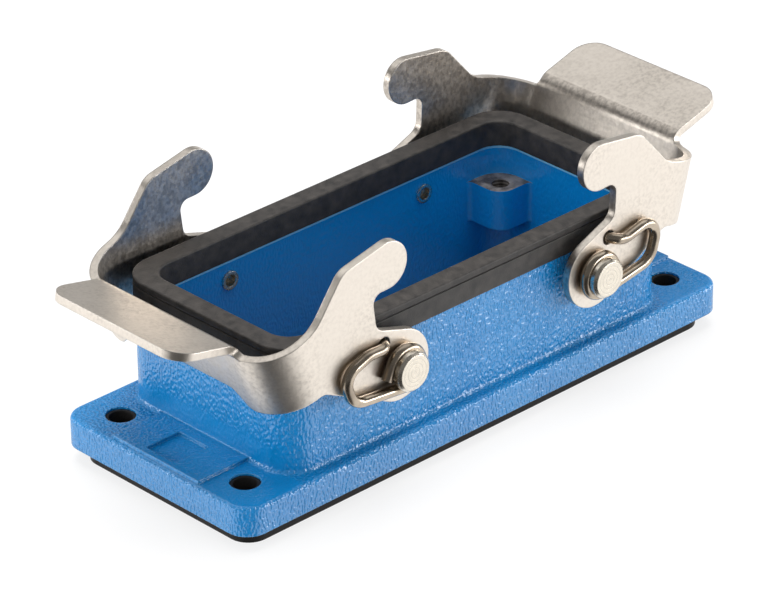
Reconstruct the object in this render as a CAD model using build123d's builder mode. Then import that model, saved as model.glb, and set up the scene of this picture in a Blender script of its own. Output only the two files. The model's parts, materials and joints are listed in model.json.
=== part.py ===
from build123d import *
import os
from math import acos, atan2, cos, degrees, hypot, radians, sin

os.makedirs("parts", exist_ok=True)

# Cast housing: collar round the insert cavity
cavity_length = 86.0
cavity_width = 36.3
cavity_corner = 5.0
collar_wall = 3.2
collar_corner = 6.4
collar_rim_height = 28.0
foot_round = 0.8

# Cast housing: flange, by how far it stands out past the collar
flange_end_margin = 12.4
flange_side_margin = 2.55
flange_thickness = 5.6
flange_corner = 4.2
flange_edge_round = 0.9

# Panel interface: four screws, each set in from the flange edges
hole_end_inset = 7.1
hole_side_inset = 7.9
flange_hole_diameter = 5.5

# Label fields on the flange between the screws
field_height = 0.6
field_screw_distance = 4.9
field_corner = 0.4
pocket_width = 7.4
pocket_length = 7.6
pocket_margin = 2.6

# Corner bosses that carry the insert, set in from the cavity walls
insert_end_inset = 4.25
insert_side_inset = 4.65
boss_drop = 9.0
boss_height = 8.0
boss_radius = 3.3
boss_bore = 3.3
boss_crease_round = 1.0

# Rubber rim seal, an inverted channel pressed over the rim
seal_top_thickness = 1.8
seal_proud = 0.3
seal_outer_skirt = 1.45
seal_inner_skirt = 1.1
seal_inner_proud = 0.5
seal_outer_height = 5.3
seal_inner_height = 4.9
seal_lip_round = 0.3
seal_inner_round = 0.35
seal_groove_drop = 1.15
seal_groove_height = 0.35
seal_groove_depth = 0.25

# Rubber flange gasket with collars that rise into the screw holes
gasket_thickness = 3.0
gasket_inset = 2.3
gasket_corner = 4.0
gasket_cutout_clearance = 1.0
gasket_collar_bore = 4.3
gasket_collar_drop = 0.4

# Pivot pins, shouldered and riveted through the long walls
pivot_end_inset = 19.3
pivot_drop = 7.25
pin_shank_diameter = 5.2
pin_standoff = 2.2
pin_standoff_diameter = 7.2
pin_head_diameter = 7.4
pin_head_thickness = 1.4
pin_head_chamfer = 0.5
pin_tenon_diameter = 3.0
pin_tenon_clearance = 0.02
pin_bore = 2.3
pin_bore_depth = 1.5
pin_flare_diameter = 3.6
pin_flare_thickness = 0.35

# Locking levers, bent from one sheet; places are measured from the pivot,
# the first number towards the middle of the housing, the second along the web
sheet = 1.5
lever_running_gap = 0.05
lever_bore_clearance = 0.05
web_reach = 25.2
web_bend = 8.5
web_top = 19.5
web_bottom = 7.3
arch_height = 3.45
arch_side_inset = 8.8
arch_slope = 3.4
arch_round = 2.2
lobe_radius = 6.6
nose_centre = (4.3, 19.8)
nose_radius = 4.4
throat_bottom = (-2.2, 10.0)
throat_top = (-0.65, 16.8)
throat_bottom_round = 2.5
throat_top_round = 1.8
back_corner = (-4.6, 25.4)
back_round = 4.0
shoulder_reach = 13.6
shoulder_round = 8.0
heel_reach = 16.2
heel_round = 2.5
left_lever_lean = 19.7
right_lever_lean = 15.7

# Grip that curves outward from the top of the web, with a rounded neck
grip_side_inset = 8.3
neck_round = 1.6
grip_turn = 58.0
grip_inner_bend = 2.0
grip_length = 11.3
grip_corner = 4.5

# Wire springs, one on each lever arm, with the same two directions;
# the left and the right pair are bent a little differently
wire = 2.0
wire_lift = 0.25
wire_head_clearance = 0.05
spring_anchor = (-1.7, 6.4)
spring_anchor_bend = 2.0
spring_anchor_clearance = 0.4
spring_anchor_recess = 0.2
left_spring_knee = (-6.0, 8.15)
left_spring_loop = (-12.3, 8.2)
right_spring_knee = (-4.7, 6.5)
right_spring_loop = (-12.65, 11.0)
spring_knee_bend = 3.5
spring_loop_bend = 3.0
spring_loop_low = 1.9
spring_loop_low_bend = 3.8
spring_coil_clearance = 0.03
spring_coil_end = 135.0
spring_tail = 2.6

# Tolerance for finding an edge or a corner by its place or length
near = 0.01

# Levels above the mounting face
flange_bottom = gasket_thickness
flange_top = flange_bottom + flange_thickness
rim_level = flange_bottom + collar_rim_height
pivot_height = rim_level - pivot_drop
boss_top = rim_level - boss_drop

# Plan sizes of the collar and the flange, and places of screws, bosses and pins
collar_length = cavity_length + 2 * collar_wall
collar_width = cavity_width + 2 * collar_wall
flange_length = collar_length + 2 * flange_end_margin
flange_width = collar_width + 2 * flange_side_margin
hole_pitch_length = flange_length - 2 * hole_end_inset
hole_pitch_width = flange_width - 2 * hole_side_inset
field_width = hole_pitch_width - 2 * field_screw_distance
insert_pitch_length = cavity_length - 2 * insert_end_inset
insert_pitch_width = cavity_width - 2 * insert_side_inset
pivot_spacing = cavity_length - 2 * pivot_end_inset

# Plan sizes of the rim seal and of the tongue that it grips
seal_length = collar_length + 2 * seal_proud
seal_width = collar_width + 2 * seal_proud
tongue_length = seal_length - 2 * seal_outer_skirt
tongue_width = seal_width - 2 * seal_outer_skirt
tongue_corner = collar_corner + seal_proud - seal_outer_skirt
channel_length = cavity_length - 2 * seal_inner_proud + 2 * seal_inner_skirt
channel_width = cavity_width - 2 * seal_inner_proud + 2 * seal_inner_skirt
channel_corner = cavity_corner - seal_inner_proud + seal_inner_skirt
seal_top = rim_level + seal_top_thickness

# Stack outward from the collar wall along each pivot pin
arm_inner = collar_width / 2 + pin_standoff + lever_running_gap
arm_outer = arm_inner + sheet
wire_plane = arm_outer + wire_lift + wire / 2
head_inner = arm_outer + wire_lift + wire + wire_head_clearance
head_outer = head_inner + pin_head_thickness
grip_width = 2 * (arm_outer - grip_side_inset)
arch_half_width = arm_outer - arch_side_inset


def tangent_point(outside, centre, radius, turn):
    """Point where a line from outside touches a circle, on the side that turn picks."""
    dx, dy = outside[0] - centre[0], outside[1] - centre[1]
    angle = atan2(dy, dx) + turn * acos(radius / hypot(dx, dy))
    return (centre[0] + radius * cos(angle), centre[1] + radius * sin(angle))


def lever_plane(side, lean):
    """Plane across a lever, at its pivot: x towards the middle, y up along the web."""
    lean_cos, lean_sin = cos(radians(lean)), sin(radians(lean))
    return Plane(
        origin=(side * pivot_spacing / 2, 0, pivot_height),
        x_dir=(-side * lean_cos, 0, lean_sin),
        z_dir=(0, side, 0),
    )


# Housing: flange, collar, corner bosses and the tongue under the seal
with BuildPart() as housing:
    with BuildSketch(Plane.XY.offset(flange_bottom)):
        RectangleRounded(flange_length, flange_width, flange_corner)
    extrude(amount=flange_thickness)
    fillet(housing.faces().sort_by(Axis.Z)[-1].edges(), flange_edge_round)

    with BuildSketch(Plane.XY.offset(flange_bottom)):
        RectangleRounded(collar_length, collar_width, collar_corner)
    extrude(amount=seal_top - seal_outer_height - flange_bottom)
    foot = housing.edges().filter_by_position(Axis.Z, flange_top - near, flange_top + near)
    fillet(foot.filter_by(lambda e: abs(e.center().X) < (flange_length + collar_length) / 4), foot_round)

    field_length = (flange_length - collar_length) / 2 - flange_edge_round
    field_middle = (collar_length + field_length) / 2
    with BuildSketch(Plane.XY.offset(flange_top)):
        with Locations((-field_middle, 0), (field_middle, 0)):
            Rectangle(field_length, field_width)
    extrude(amount=field_height)
    with BuildSketch(Plane.XY.offset(flange_top)):
        with Locations((-collar_length / 2 - pocket_margin - pocket_length / 2, 0)):
            RectangleRounded(pocket_length, pocket_width, field_corner)
    extrude(amount=field_height, mode=Mode.SUBTRACT)

    with BuildSketch(Plane.XY.offset(flange_bottom)):
        RectangleRounded(tongue_length, tongue_width, tongue_corner)
    extrude(amount=collar_rim_height)

    with BuildSketch(Plane.XY.offset(flange_bottom)):
        RectangleRounded(cavity_length, cavity_width, cavity_corner)
    extrude(amount=collar_rim_height, mode=Mode.SUBTRACT)
    with BuildSketch(Plane.XY.offset(seal_top - seal_inner_height)):
        RectangleRounded(channel_length, channel_width, channel_corner)
    extrude(amount=seal_inner_height, mode=Mode.SUBTRACT)

    boss_length = (cavity_length - insert_pitch_length) / 2 + boss_radius
    boss_width = (cavity_width - insert_pitch_width) / 2 + boss_radius
    with BuildSketch(Plane.XY.offset(boss_top - boss_height)) as bosses:
        RectangleRounded(cavity_length, cavity_width, cavity_corner)
        with GridLocations(insert_pitch_length, insert_pitch_width, 2, 2):
            Circle(boss_bore / 2, mode=Mode.SUBTRACT)
        Rectangle(cavity_length - 2 * boss_length, cavity_width, mode=Mode.SUBTRACT)
        Rectangle(cavity_length, cavity_width - 2 * boss_width, mode=Mode.SUBTRACT)
        inner_corners = bosses.vertices().filter_by(
            lambda v: abs(abs(v.X) - (cavity_length / 2 - boss_length)) < near
            and abs(abs(v.Y) - (cavity_width / 2 - boss_width)) < near
        )
        fillet(inner_corners, boss_radius)
    extrude(amount=boss_height)
    boss_edges = housing.edges().filter_by(lambda e: abs(e.length - boss_height) < near)
    on_end_walls = boss_edges.filter_by(lambda e: abs(abs(e.center().X) - cavity_length / 2) < near)
    on_side_walls = boss_edges.filter_by(lambda e: abs(abs(e.center().Y) - cavity_width / 2) < near)
    fillet(on_end_walls + on_side_walls, boss_crease_round)

    with BuildSketch(Plane.XY.offset(flange_bottom)):
        with GridLocations(hole_pitch_length, hole_pitch_width, 2, 2):
            Circle(flange_hole_diameter / 2)
    extrude(amount=flange_thickness + field_height, mode=Mode.SUBTRACT)
    with BuildSketch(Plane.XZ.offset(-collar_width / 2)):
        with Locations((-pivot_spacing / 2, pivot_height), (pivot_spacing / 2, pivot_height)):
            Circle(pin_tenon_diameter / 2 + pin_tenon_clearance)
    extrude(amount=collar_width, mode=Mode.SUBTRACT)
housing.part.label = "housing"
export_step(housing.part, "parts/housing.step")

# Rim seal: closed ring with a channel below for the tongue
with BuildPart() as rim_seal:
    with BuildSketch(Plane.XY.offset(seal_top - seal_outer_height)):
        RectangleRounded(seal_length, seal_width, collar_corner + seal_proud)
        RectangleRounded(
            cavity_length - 2 * seal_inner_proud,
            cavity_width - 2 * seal_inner_proud,
            cavity_corner - seal_inner_proud,
            mode=Mode.SUBTRACT,
        )
    extrude(amount=seal_outer_height)
    lip = rim_seal.faces().sort_by(Axis.Z)[-1]
    outer_lip = lip.outer_wire().edges()
    inner_lip = lip.inner_wires()[0].edges()
    fillet(outer_lip, seal_lip_round)
    fillet(inner_lip, seal_inner_round)
    with BuildSketch(Plane.XY.offset(rim_level)):
        RectangleRounded(tongue_length, tongue_width, tongue_corner)
        RectangleRounded(channel_length, channel_width, channel_corner, mode=Mode.SUBTRACT)
    extrude(amount=-seal_outer_height, mode=Mode.SUBTRACT)
    with BuildSketch(Plane.XY.offset(seal_top - seal_inner_height)):
        RectangleRounded(channel_length, channel_width, channel_corner)
    extrude(amount=seal_inner_height - seal_outer_height, mode=Mode.SUBTRACT)
    with BuildSketch(Plane.XY.offset(seal_top - seal_groove_drop)):
        RectangleRounded(seal_length, seal_width, collar_corner + seal_proud)
        RectangleRounded(
            seal_length - 2 * seal_groove_depth,
            seal_width - 2 * seal_groove_depth,
            collar_corner + seal_proud - seal_groove_depth,
            mode=Mode.SUBTRACT,
        )
    extrude(amount=-seal_groove_height, mode=Mode.SUBTRACT)
rim_seal.part.label = "rim_seal"
export_step(rim_seal.part, "parts/rim_seal.step")

# Flange gasket: sheet below the flange, with a collar in each screw hole
with BuildPart() as flange_gasket:
    with BuildSketch():
        RectangleRounded(
            flange_length - 2 * gasket_inset, flange_width - 2 * gasket_inset, gasket_corner
        )
        RectangleRounded(
            cavity_length + 2 * gasket_cutout_clearance,
            cavity_width + 2 * gasket_cutout_clearance,
            cavity_corner + gasket_cutout_clearance,
            mode=Mode.SUBTRACT,
        )
    extrude(amount=gasket_thickness)
    with BuildSketch(Plane.XY.offset(gasket_thickness)):
        with GridLocations(hole_pitch_length, hole_pitch_width, 2, 2):
            Circle(flange_hole_diameter / 2)
    extrude(amount=flange_thickness - gasket_collar_drop)
    with GridLocations(hole_pitch_length, hole_pitch_width, 2, 2):
        Hole(gasket_collar_bore / 2)
flange_gasket.part.label = "flange_gasket"
export_step(flange_gasket.part, "parts/flange_gasket.step")


# Pivot pin: turned from bar, hollow at the riveted inner end
def make_pin(name, side, row):
    across = Plane(
        origin=(side * pivot_spacing / 2, 0, pivot_height), x_dir=(0, row, 0), z_dir=(1, 0, 0)
    )
    wall_inner = cavity_width / 2
    wall_outer = collar_width / 2
    tip = wall_inner - pin_flare_thickness
    with BuildPart() as pin:
        with BuildSketch(across):
            with BuildLine():
                Polyline(
                    (tip, pin_bore / 2),
                    (tip, pin_flare_diameter / 2),
                    (wall_inner, pin_flare_diameter / 2),
                    (wall_inner, pin_tenon_diameter / 2),
                    (wall_outer, pin_tenon_diameter / 2),
                    (wall_outer, pin_standoff_diameter / 2),
                    (wall_outer + pin_standoff, pin_standoff_diameter / 2),
                    (wall_outer + pin_standoff, pin_shank_diameter / 2),
                    (head_inner, pin_shank_diameter / 2),
                    (head_inner, pin_head_diameter / 2),
                    (head_outer - pin_head_chamfer, pin_head_diameter / 2),
                    (head_outer, pin_head_diameter / 2 - pin_head_chamfer),
                    (head_outer, 0),
                    (tip + pin_bore_depth, 0),
                    (tip + pin_bore_depth, pin_bore / 2),
                    close=True,
                )
            make_face()
        revolve(axis=Axis(across.origin, across.x_dir))
    pin.part.label = name
    export_step(pin.part, "parts/" + name + ".step")


# Locking lever: two hooked arms, the web between them and the grip
def make_lever(name, side, lean):
    across = lever_plane(side, lean)
    along_web = Plane(origin=across.origin, x_dir=across.x_dir, z_dir=across.y_dir)
    on_web = Plane(origin=across.origin, x_dir=(0, 1, 0), z_dir=-side * across.x_dir)
    mouth = nose_centre[0] + nose_radius + lobe_radius
    base_level = -lobe_radius - sheet
    top_level = back_corner[1] + sheet
    with BuildPart() as lever:
        with BuildSketch(along_web.offset(base_level)) as outside:
            with Locations(((mouth - web_reach) / 2, 0)):
                Rectangle(mouth + web_reach, 2 * arm_outer)
            fillet(outside.vertices().sort_by(Axis.X)[:2], web_bend)
        extrude(amount=top_level - base_level)
        with BuildSketch(along_web.offset(base_level)) as inside:
            with Locations(((mouth - web_reach + sheet) / 2, 0)):
                Rectangle(mouth + web_reach - sheet, 2 * arm_inner)
            fillet(inside.vertices().sort_by(Axis.X)[:2], web_bend - sheet)
        extrude(amount=top_level - base_level, mode=Mode.SUBTRACT)

        lobe_low = tangent_point((-heel_reach, web_bottom), (0, 0), lobe_radius, 1)
        lobe_high = tangent_point(throat_bottom, (0, 0), lobe_radius, -1)
        nose_low = tangent_point(throat_top, nose_centre, nose_radius, 1)
        nose_high = tangent_point(back_corner, nose_centre, nose_radius, -1)
        with BuildSketch(across) as outline:
            Polygon(
                (-web_reach - sheet, web_bottom),
                (-heel_reach, web_bottom),
                lobe_low,
                (0, 0),
                lobe_high,
                throat_bottom,
                throat_top,
                nose_low,
                nose_centre,
                nose_high,
                back_corner,
                (-shoulder_reach, web_top),
                (-web_reach - sheet, web_top),
                align=None,
            )
            Circle(lobe_radius)
            with Locations(nose_centre):
                Circle(nose_radius)
            for point, radius in (
                ((-heel_reach, web_bottom), heel_round),
                (throat_bottom, throat_bottom_round),
                (throat_top, throat_top_round),
                (back_corner, back_round),
                ((-shoulder_reach, web_top), shoulder_round),
            ):
                fillet(outline.vertices().sort_by_distance((*point, 0))[0], radius)
            Circle(pin_shank_diameter / 2 + lever_bore_clearance, mode=Mode.SUBTRACT)
            with Locations(spring_anchor):
                Circle(wire / 2 + spring_anchor_clearance, mode=Mode.SUBTRACT)
        extrude(amount=arm_outer + sheet, both=True, mode=Mode.INTERSECT)

        with BuildSketch(on_web) as arch:
            Polygon(
                (-arch_half_width - arch_slope, web_bottom),
                (-arch_half_width, web_bottom),
                (arch_slope - arch_half_width, web_bottom + arch_height),
                (arch_half_width - arch_slope, web_bottom + arch_height),
                (arch_half_width, web_bottom),
                (arch_half_width + arch_slope, web_bottom),
                (arch_half_width + arch_slope, 0),
                (-arch_half_width - arch_slope, 0),
                align=None,
            )
            bends = arch.vertices().filter_by(lambda v: abs(v.X) < arch_half_width + near)
            fillet(bends, arch_round)
        extrude(amount=side * (web_reach + sheet), mode=Mode.SUBTRACT)

        with BuildSketch(across):
            with BuildLine():
                bend_centre = (-web_reach - grip_inner_bend, web_top)
                bend_in = CenterArc(bend_centre, grip_inner_bend + sheet, 0, grip_turn)
                bend_out = CenterArc(bend_centre, grip_inner_bend, 0, grip_turn)
                blade = PolarLine(bend_in @ 1, grip_length, grip_turn + 90)
                under = PolarLine(bend_out @ 1, grip_length, grip_turn + 90)
                Line(blade @ 1, under @ 1)
                Line(bend_in @ 0, bend_out @ 0)
            make_face()
        extrude(amount=grip_width / 2 + neck_round, both=True)

        grip_side = grip_width / 2
        grip_outside = grip_side + 2 * neck_round
        grip_high = web_top + grip_length + grip_inner_bend
        with BuildSketch(on_web.offset(side * (web_reach - sheet))):
            for edge in (-1, 1):
                with BuildLine():
                    relief = RadiusArc(
                        (edge * (grip_side + neck_round), web_top),
                        (edge * grip_side, web_top + neck_round),
                        edge * neck_round,
                    )
                    Polyline(
                        relief @ 1,
                        (edge * grip_side, grip_high),
                        (edge * grip_outside, grip_high),
                        (edge * grip_outside, web_top),
                        relief @ 0,
                    )
                make_face()
        extrude(amount=side * (grip_length + 2 * grip_inner_bend), mode=Mode.SUBTRACT)
        tip = lever.faces().sort_by(Axis(across.origin, across.x_dir))[0]
        fillet(tip.edges().filter_by(lambda e: abs(e.length - sheet) < near), grip_corner)
    lever.part.label = name
    export_step(lever.part, "parts/" + name + ".step")


# Wire spring: bent end in the lever arm, open loop, then most of a turn round the pin
def make_spring(name, side, row, lean, knee, loop):
    across = lever_plane(side, lean)
    coil_radius = pin_shank_diameter / 2 + spring_coil_clearance + wire / 2
    loop_low = (loop[0], spring_loop_low)
    coil_start = tangent_point(loop_low, (0, 0), coil_radius, 1)
    start_angle = degrees(atan2(coil_start[1], coil_start[0])) + 360
    wrap = spring_coil_end + 360 - start_angle
    wire_level = side * row * wire_plane
    end_level = side * row * (arm_inner + spring_anchor_recess)
    with BuildPart() as spring:
        with BuildLine(across) as centre:
            FilletPolyline(
                (*spring_anchor, end_level),
                (*spring_anchor, wire_level),
                (*knee, wire_level),
                (*loop, wire_level),
                (*loop_low, wire_level),
                (*coil_start, wire_level),
                radius=[
                    spring_anchor_bend,
                    spring_knee_bend,
                    spring_loop_bend,
                    spring_loop_low_bend,
                ],
            )
            coil = CenterArc((0, 0, wire_level), coil_radius, start_angle, wrap)
            Line(coil @ 1, coil @ 1 + coil % 1 * spring_tail)
        path = centre.wire()
        with BuildSketch(Plane(origin=path @ 0, z_dir=path % 0)):
            Circle(wire / 2)
        sweep(path=path)
    spring.part.label = name
    export_step(spring.part, "parts/" + name + ".step")


for hand, side, lean, knee, loop in (
    ("left", -1, left_lever_lean, left_spring_knee, left_spring_loop),
    ("right", 1, right_lever_lean, right_spring_knee, right_spring_loop),
):
    make_lever("lever_" + hand, side, lean)
    for face, row in (("front", -1), ("back", 1)):
        make_pin("pin_" + hand + "_" + face, side, row)
        make_spring("spring_" + hand + "_" + face, side, row, lean, knee, loop)
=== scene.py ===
import json
import math

import bpy
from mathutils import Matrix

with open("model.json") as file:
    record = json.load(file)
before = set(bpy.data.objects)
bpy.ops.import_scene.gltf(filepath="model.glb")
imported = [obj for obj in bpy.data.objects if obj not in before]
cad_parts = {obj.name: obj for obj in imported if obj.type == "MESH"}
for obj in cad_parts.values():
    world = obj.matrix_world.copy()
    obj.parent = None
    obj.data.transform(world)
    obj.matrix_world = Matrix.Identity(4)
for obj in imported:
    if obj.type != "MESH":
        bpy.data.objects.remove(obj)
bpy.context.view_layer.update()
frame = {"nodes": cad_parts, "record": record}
mounts = {mount["name"]: mount for mount in frame["record"]["mounts"]}
hinges = frame["record"]["behaviour"]["joints"]
print("solids loaded")

# camera at the angle of the photograph: place in metres, turn in degrees, lens in millimetres
view = {
    "place": (-0.50495, -0.53084, 0.41328),
    "turn": (61.6334, 0.6319, -43.6888),
    "lens": 221.607,
    "sensor": 36.0,
    "nearest": 0.01,
}


def makeCamera():
    camera = bpy.data.objects.new("camera", bpy.data.cameras.new("camera"))
    camera.data.lens = view["lens"]
    camera.data.sensor_width = view["sensor"]
    camera.data.clip_start = view["nearest"]
    camera.location = view["place"]
    camera.rotation_euler = [math.radians(angle) for angle in view["turn"]]
    bpy.context.collection.objects.link(camera)
    bpy.context.scene.camera = camera


makeCamera()
print("camera placed")


# a number or colour sets the socket, and a socket is linked to it
def setSocket(tree, socket, value):
    if isinstance(value, bpy.types.NodeSocket):
        tree.links.new(value, socket)
    else:
        socket.default_value = value


def addNode(tree, kind, inputs=None, **settings):
    node = tree.nodes.new(kind)
    for name, value in settings.items():
        setattr(node, name, value)
    for key, value in (inputs or {}).items():
        setSocket(tree, node.inputs[key], value)
    return node


def calc(tree, operation, a, b=0.0, clamp=False):
    node = addNode(tree, "ShaderNodeMath", {0: a, 1: b}, operation=operation, use_clamp=clamp)
    return node.outputs[0]


def product(tree, first, *others):
    for other in others:
        first = calc(tree, "MULTIPLY", first, other)
    return first


def total(tree, first, *others):
    for other in others:
        first = calc(tree, "ADD", first, other)
    return first


def vectorCalc(tree, operation, a, b=(0.0, 0.0, 0.0)):
    node = addNode(tree, "ShaderNodeVectorMath", {0: a, 1: b}, operation=operation)
    return node.outputs["Value" if operation == "DOT_PRODUCT" else "Vector"]


def splitVector(tree, vector):
    return addNode(tree, "ShaderNodeSeparateXYZ", {0: vector}).outputs


# a value between low and high becomes one between start and end
def ramp(tree, value, low, high, start=0.0, end=1.0, smooth=True):
    kind = "SMOOTHSTEP" if smooth else "LINEAR"
    sockets = {"Value": value, "From Min": low, "From Max": high, "To Min": start, "To Max": end}
    node = addNode(tree, "ShaderNodeMapRange", sockets, interpolation_type=kind)
    return node.outputs["Result"]


def mixColour(tree, amount, first, second):
    sockets = {0: amount, 6: first, 7: second}  # the colour sockets of a mix node
    return addNode(tree, "ShaderNodeMix", sockets, data_type="RGBA").outputs[2]


def blend(tree, amount, first, second):
    sockets = {0: amount, 2: first, 3: second}  # the number sockets of a mix node
    return addNode(tree, "ShaderNodeMix", sockets, data_type="FLOAT").outputs[0]


def rgb(r, g, b):
    return (r, g, b, 1.0)


def newGroup(name, inputs, outputs):
    tree = bpy.data.node_groups.new(name, "ShaderNodeTree")
    for label, kind, value in inputs:
        socket = tree.interface.new_socket(label, in_out="INPUT", socket_type=kind)
        socket.default_value = value
    for label, kind in outputs:
        tree.interface.new_socket(label, in_out="OUTPUT", socket_type=kind)
    return tree, tree.nodes.new("NodeGroupInput").outputs, tree.nodes.new("NodeGroupOutput").inputs


# softly rounded edges: the bent normal, and a mask that is 1 along the edges
def makeEdgeGroup():
    tree, given, out = newGroup(
        "roundedEdges",
        [("Radius", "NodeSocketFloat", 0.0003), ("Gain", "NodeSocketFloat", 6.0)],
        [("Normal", "NodeSocketVector"), ("Mask", "NodeSocketFloat")],
    )
    rounded = addNode(tree, "ShaderNodeBevel", {"Radius": given["Radius"]}, samples=6).outputs[0]
    plain = addNode(tree, "ShaderNodeNewGeometry").outputs["Normal"]
    bent = calc(tree, "SUBTRACT", 1.0, vectorCalc(tree, "DOT_PRODUCT", rounded, plain))
    tree.links.new(rounded, out["Normal"])
    tree.links.new(calc(tree, "MULTIPLY", bent, given["Gain"], clamp=True), out["Mask"])
    return tree


# blotches: noise drawn out along a direction by Stretch, with all below Low and above High flat
def makeBlotchGroup():
    tree, given, out = newGroup(
        "blotches",
        [
            ("Scale", "NodeSocketFloat", 100.0),
            ("Stretch", "NodeSocketVector", (1.0, 1.0, 1.0)),
            ("Detail", "NodeSocketFloat", 3.0),
            ("Low", "NodeSocketFloat", 0.35),
            ("High", "NodeSocketFloat", 0.65),
        ],
        [("Value", "NodeSocketFloat")],
    )
    place = addNode(tree, "ShaderNodeTexCoord").outputs["Object"]
    drawn = vectorCalc(tree, "MULTIPLY", place, given["Stretch"])
    sockets = {"Vector": drawn, "Scale": given["Scale"], "Detail": given["Detail"], "Roughness": 0.55}
    noise = addNode(tree, "ShaderNodeTexNoise", sockets).outputs["Fac"]
    tree.links.new(ramp(tree, noise, given["Low"], given["High"]), out["Value"])
    return tree


edgeGroup = makeEdgeGroup()
blotchGroup = makeBlotchGroup()
print("shared effects made")


def roundEdges(tree, settings):
    return addNode(tree, "ShaderNodeGroup", settings, node_tree=edgeGroup).outputs


def blotches(tree, settings):
    return addNode(tree, "ShaderNodeGroup", settings, node_tree=blotchGroup).outputs["Value"]


def newMaterial(name, fixed):
    material = bpy.data.materials.new(name)
    material.use_nodes = True
    shader = material.node_tree.nodes["Principled BSDF"]
    for key, value in fixed.items():
        shader.inputs[key].default_value = value
    return material, material.node_tree, shader


# colour, roughness and a relief that lies on the rounded edges
def linkShader(tree, shader, colour, rough, relief, edges, bump):
    lifted = addNode(tree, "ShaderNodeBump", {"Height": relief, "Normal": edges["Normal"], **bump})
    tree.links.new(colour, shader.inputs["Base Color"])
    tree.links.new(rough, shader.inputs["Roughness"])
    tree.links.new(lifted.outputs[0], shader.inputs["Normal"])


def dress(node, material):
    obj = frame["nodes"][node]
    obj.data.materials.clear()
    obj.data.materials.append(material)


# blue powder coat, lumpy outside and calmer inside, with bare cut faces on the bosses
paint = {
    "fixed": {"Specular IOR Level": 1.0, "IOR": 1.62},
    "colour": rgb(0.002, 0.198, 0.49),
    "deepColour": rgb(0.001, 0.170, 0.44),
    # a lighter, more saturated copy of the blue for the cavity walls: painted light that brightens
    # the inside
    "paintedLightInsideColour": rgb(0.001, 0.230, 0.62),
    "shades": {"Scale": 60.0, "Detail": 2.0, "Low": 0.3, "High": 0.7},
    "roughness": (0.15, 0.23),
    "edges": {"Radius": 0.00035, "Gain": 5.0},
    "edgeColour": rgb(0.08, 0.34, 0.62),
    "edgeShare": 0.25,
    # a painted highlight: a light line on the cavity walls at the level just under the seal
    "rimHighlightColour": rgb(0.22, 0.58, 0.86),
    "paintedRimHighlight": (0.02712, 0.02725),  # level of the light line under the seal
    "cavityEnd": (0.0440, 0.0436),  # within the collar's end walls
    "cavitySide": (0.0192, 0.0188),  # within its long walls
    "upward": (0.8, 0.9),
    "lumps": {"Scale": 2100.0, "Detail": 0.3, "Roughness": 0.4},
    "lumpStretch": (1.0, 1.0, 0.6),
    "lumpRange": (0.3, 0.7),
    "lumpHeight": 0.00015,
    "insideHeight": 0.00004,
    "calmHeight": 0.00004,
    "calmEnd": (0.0446, 0.0455),  # from the collar's end walls outward
    "calmFoot": (0.0086, 0.0096),  # from the flange's top upward
    "calmBelow": (0.0142, 0.0125),
    "calmAcross": (0.012, 0.002),
    "bump": {"Strength": 1.0, "Distance": 1.0},
}


# the coat lies calm at the foot of the end walls and on most of the flange's ends
def calmCoat(tree, side, y, z, upward):
    below = ramp(tree, z, *paint["calmBelow"])
    foot = product(tree, ramp(tree, z, *paint["calmFoot"]), below)
    flat = product(tree, upward, below, ramp(tree, y, *paint["calmAcross"]))
    ends = ramp(tree, side, *paint["calmEnd"])
    return product(tree, ends, calc(tree, "MAXIMUM", foot, flat))


def paintRelief(tree, place, inside, calm):
    drawn = vectorCalc(tree, "MULTIPLY", place, paint["lumpStretch"])
    lumps = addNode(tree, "ShaderNodeTexNoise", {"Vector": drawn, **paint["lumps"]}).outputs["Fac"]
    height = blend(tree, calm, paint["lumpHeight"], paint["calmHeight"])
    height = blend(tree, inside, height, paint["insideHeight"])
    return product(tree, ramp(tree, lumps, *paint["lumpRange"]), height)


def distance(tree, a, b):
    return calc(tree, "SQRT", total(tree, product(tree, a, a), product(tree, b, b)))


# bare metal on the milled boss tops and in the tapped holes of the insert's screws
boss = {
    "colour": rgb(0.27, 0.245, 0.225),
    "dark": rgb(0.07, 0.062, 0.056),
    "scuffs": {"Scale": 420.0, "Detail": 5.0, "Low": 0.35, "High": 0.65},
    "roughness": 0.42,
    "metallic": 0.4,
    "topMargin": (0.00006, 0.00002),
    "holeMargin": (0.00009, 0.00005),
    "threadPitch": 0.0007,
    "threadDepth": 0.00006,
}


def bossMasks(tree, side, across, z, upward, inside):
    screws = mounts["insert_screws"]
    sizes = ("spacing_x_mm", "spacing_y_mm", "hole_r_mm")
    length, width, radius = [screws["dims"][size] / 1000 for size in sizes]  # in metres
    alongX = calc(tree, "SUBTRACT", side, length / 2)
    alongY = calc(tree, "SUBTRACT", across, width / 2)
    reach = [radius + margin for margin in boss["holeMargin"]]
    inHole = ramp(tree, distance(tree, alongX, alongY), *reach, smooth=False)
    levelGap = calc(tree, "ABSOLUTE", calc(tree, "SUBTRACT", z, screws["pos_m"][2]))
    onTop = product(tree, ramp(tree, levelGap, *boss["topMargin"], smooth=False), upward)
    return product(tree, calc(tree, "MAXIMUM", onTop, inHole), inside), inHole


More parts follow.
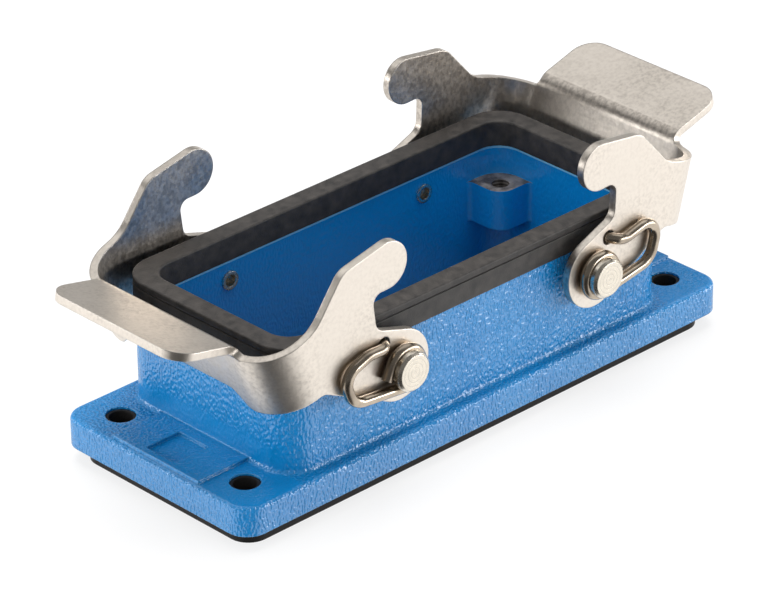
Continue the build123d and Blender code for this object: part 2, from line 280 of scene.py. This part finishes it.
def makePaint():
    material, tree, shader = newMaterial("bluePowderCoat", paint["fixed"])
    place = addNode(tree, "ShaderNodeTexCoord").outputs["Object"]
    x, y, z = splitVector(tree, place)
    side = calc(tree, "ABSOLUTE", x)
    across = calc(tree, "ABSOLUTE", y)
    inLength = ramp(tree, side, *paint["cavityEnd"], smooth=False)
    inWidth = ramp(tree, across, *paint["cavitySide"], smooth=False)
    inside = product(tree, inLength, inWidth)
    facing = addNode(tree, "ShaderNodeNewGeometry").outputs["Normal"]
    upward = ramp(tree, splitVector(tree, facing)[2], *paint["upward"])
    bare, inHole = bossMasks(tree, side, across, z, upward, inside)
    edges = roundEdges(tree, paint["edges"])
    shades = blotches(tree, paint["shades"])
    colour = mixColour(tree, shades, paint["deepColour"], paint["colour"])
    # painted light: the cavity walls take the lighter copy of the blue
    colour = mixColour(tree, inside, colour, paint["paintedLightInsideColour"])
    # the rounded edges are mixed towards the lighter edge blue
    edgeLightening = product(tree, edges["Mask"], paint["edgeShare"])
    colour = mixColour(tree, edgeLightening, colour, paint["edgeColour"])
    # painted highlight: a light line on the cavity walls just under the seal
    paintedRimHighlight = product(tree, inside, ramp(tree, z, *paint["paintedRimHighlight"], smooth=False))
    colour = mixColour(tree, paintedRimHighlight, colour, paint["rimHighlightColour"])
    metal = mixColour(tree, blotches(tree, boss["scuffs"]), boss["colour"], boss["dark"])
    colour = mixColour(tree, bare, colour, metal)
    rough = ramp(tree, shades, 0.0, 1.0, *paint["roughness"])
    rough = blend(tree, bare, rough, boss["roughness"])
    thread = calc(tree, "SINE", product(tree, z, 2 * math.pi / boss["threadPitch"]))
    lumps = paintRelief(tree, place, inside, calmCoat(tree, side, y, z, upward))
    relief = total(tree, lumps, product(tree, thread, inHole, boss["threadDepth"]))
    linkShader(tree, shader, colour, rough, relief, edges, paint["bump"])
    tree.links.new(product(tree, bare, boss["metallic"]), shader.inputs["Metallic"])
    return material


# moulded rubber of the rim seal and the flange gasket: dust and gloss are each piece's own
rubber = {
    "colour": rgb(0.017, 0.0162, 0.016),
    "dusty": rgb(0.074, 0.066, 0.060),
    "clouds": {"Scale": 520.0, "Detail": 6.0, "Low": 0.15, "High": 0.90},
    "grain": {"Scale": 3500.0, "Detail": 2.0, "Low": 0.3, "High": 0.7},
    "roughness": (0.40, 0.53),
    "edges": {"Radius": 0.0003, "Gain": 4.0},
    "bump": {"Strength": 0.6, "Distance": 0.00002},
    "seal": {"dust": 0.7, "gloss": 0.4},
    "gasket": {"dust": 0.1, "gloss": 0.12},
}


def makeRubber(piece):
    own = rubber[piece]
    material, tree, shader = newMaterial(piece + "Rubber", {"Specular IOR Level": own["gloss"]})
    clouds = blotches(tree, rubber["clouds"])
    dust = product(tree, clouds, own["dust"])
    colour = mixColour(tree, dust, rubber["colour"], rubber["dusty"])
    rough = ramp(tree, clouds, 0.0, 1.0, *rubber["roughness"])
    edges = roundEdges(tree, rubber["edges"])
    linkShader(tree, shader, colour, rough, blotches(tree, rubber["grain"]), edges, rubber["bump"])
    return material


# rolled and tumbled stainless sheet of the levers
sheet = {
    "fixed": {"Metallic": 1.0},
    "colour": rgb(0.90, 0.825, 0.735),
    "stain": rgb(0.42, 0.375, 0.33),
    "stainShare": (0.12, 0.42),
    "clouds": {"Scale": 90.0, "Detail": 5.0, "Low": 0.3, "High": 0.8},
    "specks": {"Scale": 1400.0, "Detail": 3.0, "Low": 0.35, "High": 0.75},
    "lines": {"Scale": 900.0, "Stretch": (1.0, 0.08, 1.0), "Detail": 3.0, "Low": 0.25, "High": 0.75},
    "waves": {"Scale": 300.0, "Detail": 1.0, "Low": 0.2, "High": 0.8},
    # darker patches on the faces turned to the housing: mottled patches and painted shade
    "innerPatches": {"Scale": 1300.0, "Stretch": (1.0, 1.0, 0.8), "Detail": 5.0, "Low": 0.3, "High": 0.72},
    "innerPatchShare": (0.30, 0.85),
    "shadedTurn": (-0.34, -0.46),  # faces turned further in than this have it
    "webTurn": (-0.96, -0.75),  # the web is turned straight in
    "webShare": (0.45, 1.0),
    "edge": rgb(0.94, 0.90, 0.84),
    "edgeShare": 0.6,
    "edges": {"Radius": 0.00035, "Gain": 5.0},
    "roughness": 0.30,
    "cloudRough": 0.10,
    "speckRough": 0.08,
    "lineHeight": 0.5,
    "waveHeight": 3.0,
    "bump": {"Strength": 0.5, "Distance": 0.000014},
}


# the faces turned to the housing are darker in mottled patches, partly painted shade of the side
# turned to the housing
def innerPatchesAndShade(tree):
    coords = addNode(tree, "ShaderNodeTexCoord").outputs
    level = vectorCalc(tree, "MULTIPLY", coords["Object"], (1.0, 1.0, 0.0))
    outward = vectorCalc(tree, "NORMALIZE", level)
    turned = vectorCalc(tree, "DOT_PRODUCT", outward, coords["Normal"])
    inward = ramp(tree, turned, *sheet["shadedTurn"])
    web = ramp(tree, turned, *sheet["webTurn"], *sheet["webShare"])
    patches = ramp(tree, blotches(tree, sheet["innerPatches"]), 0.0, 1.0, *sheet["innerPatchShare"])
    return product(tree, inward, web, patches)


def makeSheetSteel():
    material, tree, shader = newMaterial("leverSteel", sheet["fixed"])
    clouds = blotches(tree, sheet["clouds"])
    specks = blotches(tree, sheet["specks"])
    stains = product(tree, ramp(tree, clouds, 0.0, 1.0, *sheet["stainShare"]), specks)
    # worn holds the random stains and the painted shade on the faces turned to the housing
    worn = calc(tree, "MAXIMUM", stains, innerPatchesAndShade(tree))
    colour = mixColour(tree, worn, sheet["colour"], sheet["stain"])
    edges = roundEdges(tree, sheet["edges"])
    # the rounded edges are mixed towards the lighter edge colour
    edgePaling = product(tree, edges["Mask"], sheet["edgeShare"])
    colour = mixColour(tree, edgePaling, colour, sheet["edge"])
    cloudRough = product(tree, clouds, sheet["cloudRough"])
    speckRough = product(tree, specks, sheet["speckRough"])
    rough = total(tree, cloudRough, speckRough, sheet["roughness"])
    lines = product(tree, blotches(tree, sheet["lines"]), sheet["lineHeight"])
    waves = product(tree, blotches(tree, sheet["waves"]), sheet["waveHeight"])
    linkShader(tree, shader, colour, rough, total(tree, lines, specks, waves), edges, sheet["bump"])
    return material


# bronze-tinted spring wire with faint drawing lines
wire = {
    "fixed": {"Metallic": 1.0},
    "colour": rgb(0.62, 0.53, 0.42),
    "dark": rgb(0.26, 0.21, 0.17),
    "darkShare": 0.6,
    "clouds": {"Scale": 260.0, "Detail": 4.0, "Low": 0.3, "High": 0.75},
    "lines": {"Scale": 1800.0, "Stretch": (0.3, 1.0, 0.3), "Detail": 2.0, "Low": 0.3, "High": 0.7},
    "roughness": (0.18, 0.30),
    "edges": {"Radius": 0.00015, "Gain": 5.0},
    "bump": {"Strength": 0.3, "Distance": 0.00002},
}


def makeWire():
    material, tree, shader = newMaterial("springWire", wire["fixed"])
    clouds = blotches(tree, wire["clouds"])
    dark = product(tree, clouds, wire["darkShare"])
    colour = mixColour(tree, dark, wire["colour"], wire["dark"])
    rough = ramp(tree, clouds, 0.0, 1.0, *wire["roughness"])
    edges = roundEdges(tree, wire["edges"])
    linkShader(tree, shader, colour, rough, blotches(tree, wire["lines"]), edges, wire["bump"])
    return material


# turned steel of the pivot pins, with tool rings on the flat head and a near-black disc painted on
# the inner end as the shade of a hollow
pin = {
    "fixed": {"Metallic": 1.0},
    "colour": rgb(0.95, 0.875, 0.75),
    "worn": rgb(0.50, 0.46, 0.41),
    # near-black: painted shade of the hollow in the inner end
    "hollow": rgb(0.03, 0.028, 0.025),
    "specks": {"Scale": 900.0, "Detail": 3.0, "Low": 0.3, "High": 0.75},
    "speckShare": 0.25,
    "ringShare": 0.25,
    "ringPitch": 0.00078,
    "ringRange": (0.55, 0.95),  # the part of each turn that the tool cut deeper
    "speckHeight": 0.3,
    "roughness": (0.22, 0.32),
    "edges": {"Radius": 0.0003, "Gain": 5.0},
    "innerEnd": (0.0195, 0.0190),  # within the riveted inner ends
    "hollowRadius": (0.00118, 0.00108),
    "bump": {"Strength": 0.5, "Distance": 0.00003},
}


def makePinSteel():
    material, tree, shader = newMaterial("turnedSteel", pin["fixed"])
    x, y, z = splitVector(tree, addNode(tree, "ShaderNodeTexCoord").outputs["Object"])
    pivot = hinges[0]["pos_m"]
    alongX = calc(tree, "SUBTRACT", calc(tree, "ABSOLUTE", x), abs(pivot[0]))
    radius = distance(tree, alongX, calc(tree, "SUBTRACT", z, pivot[2]))
    turns = calc(tree, "DIVIDE", radius, pin["ringPitch"] / (2 * math.pi))
    rings = ramp(tree, calc(tree, "SINE", turns), *pin["ringRange"])
    atInnerEnd = ramp(tree, calc(tree, "ABSOLUTE", y), *pin["innerEnd"], smooth=False)
    # painted shade: a dark disc on the inner end of each pin
    hollow = product(tree, atInnerEnd, ramp(tree, radius, *pin["hollowRadius"]))
    specks = blotches(tree, pin["specks"])
    speckWear = product(tree, specks, pin["speckShare"])
    worn = total(tree, speckWear, product(tree, rings, pin["ringShare"]))
    colour = mixColour(tree, worn, pin["colour"], pin["worn"])
    colour = mixColour(tree, hollow, colour, pin["hollow"])
    rough = ramp(tree, specks, 0.0, 1.0, *pin["roughness"])
    relief = calc(tree, "SUBTRACT", product(tree, specks, pin["speckHeight"]), rings)
    edges = roundEdges(tree, pin["edges"])
    linkShader(tree, shader, colour, rough, relief, edges, pin["bump"])
    return material


dress("housing", makePaint())
print("housing dressed")
dress("rim_seal", makeRubber("seal"))
dress("flange_gasket", makeRubber("gasket"))
print("seal and gasket dressed")
sheetSteel = makeSheetSteel()
springWire = makeWire()
pinSteel = makePinSteel()
for hand in ("left", "right"):
    dress("lever_" + hand, sheetSteel)
    for face in ("front", "back"):
        dress("spring_" + hand + "_" + face, springWire)
        dress("pin_" + hand + "_" + face, pinSteel)
print("levers, springs and pins dressed")

# plain studio: white table, grey wall behind, a dark card on the near side and soft lamps
studio = {
    "floorSize": 6.0,
    "floorLevel": -0.00002,
    "floor": {"Base Color": rgb(0.86, 0.86, 0.86), "Roughness": 0.9},
    "floorGlow": 0.8,
    # a dark plate under the cavity, seen only in reflections: painted shade of the floor under the
    # housing
    "plateSize": (0.0885, 0.0385),
    "plateLevel": 0.0001,
    "plate": {"Base Color": rgb(0.06, 0.06, 0.06), "Roughness": 0.9},
    "lampAim": 0.02,
    "lamps": [
        # name, place, width, height, power, seen in reflections
        ("leftPanel", (-0.55, 0.50, 0.15), 0.80, 0.16, 1.4, True),
        ("rightPanel", (0.52, -0.55, 0.09), 0.80, 0.16, 2.7, True),
        ("topPanel", (0.10, 0.15, 0.80), 0.70, 0.70, 9.5, False),
        ("leftFill", (-0.65, 0.10, 0.18), 0.50, 0.30, 1.4, False),
    ],
}


def makeLevelSheet(name, length, width, height, material):
    x, y = length / 2, width / 2
    mesh = bpy.data.meshes.new(name)
    corners = [(-x, -y, height), (x, -y, height), (x, y, height), (-x, y, height)]
    mesh.from_pydata(corners, [], [(0, 1, 2, 3)])
    mesh.materials.append(material)
    obj = bpy.data.objects.new(name, mesh)
    bpy.context.collection.objects.link(obj)
    return obj


# white to the camera apart from the object's shadow, and clear from below
def makeFloorMaterial():
    material, tree, shader = newMaterial("whiteFloor", studio["floor"])
    glow = addNode(tree, "ShaderNodeEmission", {"Color": rgb(1, 1, 1), "Strength": 1.0}).outputs[0]
    toCamera = addNode(tree, "ShaderNodeLightPath").outputs["Is Camera Ray"]
    share = product(tree, toCamera, studio["floorGlow"])
    above = addNode(tree, "ShaderNodeMixShader", {0: share, 1: shader.outputs[0], 2: glow}).outputs[0]
    clear = addNode(tree, "ShaderNodeBsdfTransparent").outputs[0]
    fromBelow = addNode(tree, "ShaderNodeNewGeometry").outputs["Backfacing"]
    both = addNode(tree, "ShaderNodeMixShader", {0: fromBelow, 1: above, 2: clear})
    tree.links.new(both.outputs[0], tree.nodes["Material Output"].inputs["Surface"])
    return material


# glossy rays pass the floor and see the world's white table, but under the open cavity they meet a
# dark plate: painted shade, as dim as the shaded floor is there
def makeFloor():
    size = studio["floorSize"]
    floor = makeLevelSheet("floor", size, size, studio["floorLevel"], makeFloorMaterial())
    floor.visible_glossy = False
    dim = newMaterial("shadePlate", studio["plate"])[0]
    plate = makeLevelSheet("plate", *studio["plateSize"], studio["plateLevel"], dim)
    plate.visible_camera = False


# what glossy rays see: each level, and the ranges of height or direction where it gives way
around = {
    "soft": 0.71,  # the even light of all other rays
    "table": 1.0,
    "card": 0.05,
    "cardSide": (-0.69, -0.72, 0.0),
    "cardEdge": (0.50, 0.86),
    "horizon": (-0.12, 0.02),
    "wall": 0.50,
    "wallTop": (0.30, 0.42),
    "gap": 0.04,
    "gapTop": (0.56, 0.68),
    "ceiling": 0.95,
    "sides": 0.14,
    "sideEdge": (0.30, -0.40),
}


def makeWorld():
    world = bpy.data.worlds.new("studioWorld")
    bpy.context.scene.world = world
    world.use_nodes = True
    world.cycles.sampling_method = "NONE"
    tree = world.node_tree
    direction = addNode(tree, "ShaderNodeTexCoord").outputs["Generated"]
    x, y, z = splitVector(tree, direction)
    level = addNode(tree, "ShaderNodeCombineXYZ", {0: x, 1: y, 2: 0.0}).outputs[0]
    level = vectorCalc(tree, "NORMALIZE", level)
    toCard = vectorCalc(tree, "DOT_PRODUCT", level, around["cardSide"])
    table = ramp(tree, toCard, *around["cardEdge"], around["table"], around["card"])
    wall = ramp(tree, z, *around["wallTop"], around["wall"], around["gap"])
    wall = blend(tree, ramp(tree, z, *around["gapTop"]), wall, around["ceiling"])
    wall = blend(tree, ramp(tree, toCard, *around["sideEdge"]), around["sides"], wall)
    glossy = blend(tree, ramp(tree, z, *around["horizon"]), table, wall)
    rays = addNode(tree, "ShaderNodeLightPath").outputs
    seen = blend(tree, rays["Is Glossy Ray"], around["soft"], glossy)
    seen = blend(tree, rays["Is Camera Ray"], seen, 1.0)
    tree.nodes["Background"].inputs["Color"].default_value = rgb(1, 1, 1)
    tree.links.new(seen, tree.nodes["Background"].inputs["Strength"])


def makeLamps():
    for name, place, width, height, power, mirrored in studio["lamps"]:
        light = bpy.data.lights.new(name, "AREA")
        light.shape = "RECTANGLE"
        light.size = width
        light.size_y = height
        light.energy = power
        lamp = bpy.data.objects.new(name, light)
        lamp.location = place
        lamp.visible_glossy = mirrored
        aim = -lamp.location
        aim.z += studio["lampAim"]
        lamp.rotation_euler = aim.to_track_quat("-Z", "Y").to_euler()
        bpy.context.collection.objects.link(lamp)


makeFloor()
makeWorld()
makeLamps()
bpy.context.scene.view_settings.view_transform = "Standard"
print("studio lit")

print("scene finished")
